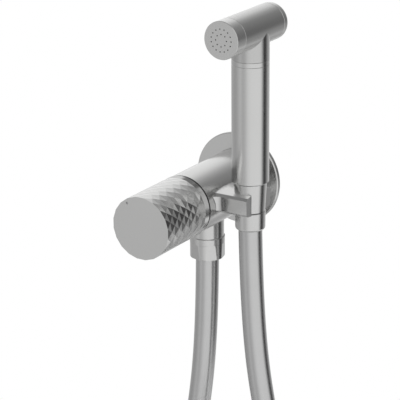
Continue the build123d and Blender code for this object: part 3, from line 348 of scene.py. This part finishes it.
def plain_metal(name, colour, roughness):
    """Machined metal of the hidden pieces: fine speckle in colour, roughness and bump."""
    made = Material(name)
    speckle = made.noise(900.0, 4.0, 0.6)
    paint = made.tone(speckle, colour, 0.88, 1.08)
    rough = made.range(speckle, roughness - 0.06, roughness + 0.08)
    return made.finish(paint, rough, speckle, 0.1, 0.00003, metallic=1.0)


def moulded(name, colour, roughness, grain=700.0, depth=0.00004):
    """Rubber, plastic or ceramic: a fine moulded surface with faint colour change."""
    made = Material(name)
    fine = made.noise(grain, 3.0, 0.6)
    broad = made.noise(45.0, 2.0, 0.5)
    paint = made.tone(broad, colour, 0.9, 1.08)
    rough = made.range(fine, roughness - 0.05, roughness + 0.07)
    return made.finish(paint, rough, fine, 0.15, depth)


def silver_hose():
    """Smooth silver hose: a bright metallic layer under clear plastic, faintly uneven."""
    made = Material("silver_hose_skin")
    broad = made.noise(70.0, 3.0, 0.6)
    fine = made.noise(2200.0, 2.0, 0.5)
    paint = made.mix(broad, grey(0.74), grey(0.80))
    made.shader.inputs["Coat Weight"].default_value = 1.0
    made.shader.inputs["Coat Roughness"].default_value = 0.15
    made.shader.inputs["Coat Tint"].default_value = grey(0.70)
    return made.finish(paint, made.range(broad, 0.24, 0.28), fine, 0.05, 0.00003, metallic=1.0)


# The gap between body and knob is painted near-black on both sides as painted shade, and the knob's
# rear rim leans forward
steel_round_y = brushed_steel("steel_turned_level", "Y")
steel_round_z = brushed_steel("steel_turned_upright", "Z")
steel_body = brushed_steel("steel_body", "Y", gap_shade=(-0.0677, -0.0671, 0.0200))
steel_knob = brushed_steel(
    "steel_knob",
    "Y",
    roughness=knob_roughness,
    gap_shade=(-0.0689, -0.0687, 0.0199),
    lean=(-0.07299, -0.06882, 0.12),
    # the dot is painted shade for the knob's small dimple
    dot=((-0.00948, -0.1149, 0.01459), 0.0009),
)
steel_head = brushed_steel("steel_head", "Y", colour=head_colour)
slot_material = {
    "brass": plain_metal("machined_brass", (0.78, 0.60, 0.32), 0.3),
    "screw_steel": plain_metal("screw_steel", (0.55, 0.55, 0.55), 0.32),
    "rubber": moulded("black_rubber", (0.035, 0.035, 0.036), 0.62),
    "white_plastic": moulded("white_plastic", (0.82, 0.82, 0.80), 0.42),
    "ceramic": moulded("white_ceramic", (0.88, 0.87, 0.84), 0.18, 1500.0, 0.00001),
}
upright_steel = (
    "outlet_nipple",
    "outlet_hex_nut",
    "hose_cone_nut",
    "tail_cone",
    "handle_tube",
    "neck_ring",
    "holder_fork",
)
steel_of_node = {name: steel_round_z for name in upright_steel}
steel_of_node.update(mixer_body=steel_body, knob_sleeve=steel_knob, head_body=steel_head)
for part in frame["record"]["subparts"]:
    name = part["node"]
    if name in nodes:
        steel = steel_of_node.get(name, steel_round_y)
        for slot in nodes[name].material_slots:
            slot.material = slot_material.get(part["material_slot"], steel)
hose_tube.data.materials.append(silver_hose())


# Springs: each has its own mesh, a copy that rides on its piece
def squashed_spring(node, body):
    """A copy of the spring with its own mesh, attached to the body it rides on."""
    first = nodes[node]
    spring = first.copy()
    spring.data = first.data.copy()
    spring.name = f"{node}_coils"
    scene.collection.objects.link(spring)
    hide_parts(node)
    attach(spring, body)
    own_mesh(spring)


squashed_spring(
    "button_spring", "handset"
)
squashed_spring(
    "check_spring", "mixer"
)

# Light: a pale studio with a dark upright panel at the right and a dark ceiling, drawn in the world.
# Each stop is a round angle in degrees, 0 towards the camera and positive to its right, and a level.
low_stops = (
    (-180, 0.55),
    (-140, 0.54),
    (-110, 0.47),
    (-90, 0.52),
    (-66, 0.70),
    (-48, 0.55),
    (-34, 0.64),
    (-18, 0.86),
    (0, 0.96),
    (60, 0.98),
    (68, 0.84),
    (76, 0.46),
    (84, 0.12),
    (92, 0.02),
    (99, 0.04),
    (108, 0.18),
    (118, 0.38),
    (132, 0.52),
    (150, 0.68),
    (180, 0.84),
)
high_stops = (
    (-180, 1.08),
    (-168, 1.02),
    (-150, 0.7),
    (-110, 0.5),
    (-60, 0.8),
    (0, 0.9),
    (72, 0.85),
    (84, 0.5),
    (92, 0.08),
    (104, 0.05),
    (110, 0.15),
    (116, 0.26),
    (122, 0.31),
    (132, 0.34),
    (142, 0.47),
    (150, 0.58),
    (158, 0.76),
    (166, 0.94),
    (174, 1.05),
    (180, 1.08),
)
floor_stops = (
    (-180, 0.62),
    (-110, 0.5),
    (-66, 0.72),
    (-20, 0.86),
    (62, 0.92),
    (90, 0.85),
    (110, 0.95),
    (128, 0.85),
    (138, 0.44),
    (158, 0.5),
    (180, 0.62),
)
# Heights where one ring of stops gives way to the next, as sines of their angles above the level
floor_until = sin(radians(-34))
low_from = sin(radians(-27))
low_until = sin(radians(-13))
high_from = sin(radians(-5))
ceiling_start = sin(radians(46))
ceiling_full = sin(radians(56))
ceiling_level = 0.24


def level_ramp(made, position, stops):
    """Grey level round the studio, from its stops."""
    ramp = made.node("ShaderNodeValToRGB")
    made.feed(ramp.inputs["Fac"], position)
    elements = ramp.color_ramp.elements
    elements.remove(elements[-1])
    for index, (degrees_round, level) in enumerate(stops):
        place_on_ramp = (degrees_round + 180) / 360
        element = elements.new(place_on_ramp) if index else elements[0]
        element.position = place_on_ramp
        element.color = grey(level)
    return ramp.outputs["Color"]


def make_world():
    world = bpy.data.worlds.new("studio")
    scene.world = world
    world.use_nodes = True
    world.node_tree.nodes.clear()
    made = Nodes(world.node_tree)
    turn = made.node("ShaderNodeMapping", vector_type="VECTOR")
    made.feed(turn.inputs["Rotation"], (0, 0, -camera_turn))
    made.feed(turn.inputs["Vector"], made.node("ShaderNodeTexCoord").outputs["Generated"])
    parts = made.node("ShaderNodeSeparateXYZ")
    made.feed(parts.inputs["Vector"], turn.outputs["Vector"])
    forward = made.math("MULTIPLY", parts.outputs["Y"], -1.0)
    angle = made.math("ARCTAN2", parts.outputs["X"], forward)
    round_share = made.range(angle, 0.0, 1.0, -pi, pi)
    ground = level_ramp(made, round_share, floor_stops)
    low = level_ramp(made, round_share, low_stops)
    high = level_ramp(made, round_share, high_stops)

    def above(first, second, start, full):
        share = made.range(parts.outputs["Z"], 0.0, 1.0, start, full, interpolation="SMOOTHSTEP")
        return made.mix(share, first, second)

    foot = above(ground, low, floor_until, low_from)
    walls = above(foot, high, low_until, high_from)
    studio = above(walls, grey(ceiling_level), ceiling_start, ceiling_full)
    lit = made.node("ShaderNodeBackground")
    made.feed(lit.inputs["Color"], studio)
    white = made.node("ShaderNodeBackground")
    made.feed(white.inputs["Color"], grey(1))
    rays = made.node("ShaderNodeLightPath")
    seen = made.math("MAXIMUM", rays.outputs["Is Camera Ray"], rays.outputs["Is Transmission Ray"])
    both = made.mix_shaders(seen, lit.outputs["Background"], white.outputs["Background"])
    made.feed(made.node("ShaderNodeOutputWorld").inputs["Surface"], both)


make_world()


def circle(radius, sides=96):
    angles = [2 * pi * index / sides for index in range(sides)]
    return [(radius * cos(angle), radius * sin(angle)) for angle in angles]


def stage_piece(name, corners, faces, place, material):
    """A piece of the room, which isn't part of the mixer."""
    mesh = bpy.data.meshes.new(name)
    mesh.from_pydata(corners, [], faces)
    mesh.materials.append(material)
    piece = bpy.data.objects.new(name, mesh)
    piece.location = place
    scene.collection.objects.link(piece)


# Floor: a pale disc under the hose, which fades out to the white room and lifts a little for the camera
floor_place = (0.02, -0.05, -0.50)
floor_radius = 0.55
floor_solid_share = 0.55
floor_lift = 0.40


def floor_paint():
    made = Material("floor_paint")
    length = made.vector("LENGTH", made.place, output="Value")
    rough = made.range(made.noise(20.0, 3.0, 0.5), 0.5, 0.6)
    camera_ray = made.node("ShaderNodeLightPath").outputs["Is Camera Ray"]
    for name, value in (
        ("Base Color", grey(0.93)),
        ("Roughness", rough),
        ("Emission Color", grey(1)),
        ("Emission Strength", made.math("MULTIPLY", camera_ray, floor_lift)),
        ("Alpha", made.range(length, 1.0, 0.0, floor_radius * floor_solid_share, floor_radius)),
    ):
        made.feed(made.shader.inputs[name], value)
    return made.material


floor_corners = [(x, y, 0) for x, y in circle(floor_radius)]
stage_piece("floor", floor_corners, [tuple(range(len(floor_corners)))], floor_place, floor_paint())

# Wall: a ring of white wall round the plate, so that the screws and spigots that go into the wall
# don't show past the plate's edge. Only the camera sees it, and only from the front.
wall_inner = 0.030
wall_outer = 0.070
wall_place = (0, 0.0002, 0)


def wall_paint():
    made = Material("wall_paint")
    white = made.node("ShaderNodeEmission")
    made.feed(white.inputs["Color"], made.range(made.noise(30.0, 2.0, 0.5), 0.998, 1.0))
    clear = made.node("ShaderNodeBsdfTransparent")
    front = made.math("SUBTRACT", 1.0, made.node("ShaderNodeNewGeometry").outputs["Backfacing"])
    shown = made.math("MULTIPLY", front, made.node("ShaderNodeLightPath").outputs["Is Camera Ray"])
    both = made.mix_shaders(shown, clear.outputs["BSDF"], white.outputs["Emission"])
    made.feed(made.tree.nodes["Material Output"].inputs["Surface"], both)
    return made.material


wall_corners = [(x, 0, z) for radius in (wall_inner, wall_outer) for x, z in circle(radius)]
wall_sides = len(wall_corners) // 2
wall_faces = [
    (wall_sides + side, wall_sides + (side + 1) % wall_sides, (side + 1) % wall_sides, side)
    for side in range(wall_sides)
]
stage_piece("wall", wall_corners, wall_faces, wall_place, wall_paint())

softbox_place = Vector((0.31, -1.44, 1.03))
softbox_target = Vector((0, -0.05, 0))
softbox_size = 1.2
softbox_power = 2.5


def make_softbox():
    data = bpy.data.lights.new("front_softbox", "AREA")
    data.shape = "DISK"
    data.size = softbox_size
    data.energy = softbox_power
    light = bpy.data.objects.new("front_softbox", data)
    light.location = softbox_place
    light.rotation_mode = "QUATERNION"
    light.rotation_quaternion = (softbox_target - softbox_place).to_track_quat("-Z", "Y")
    scene.collection.objects.link(light)


make_softbox()
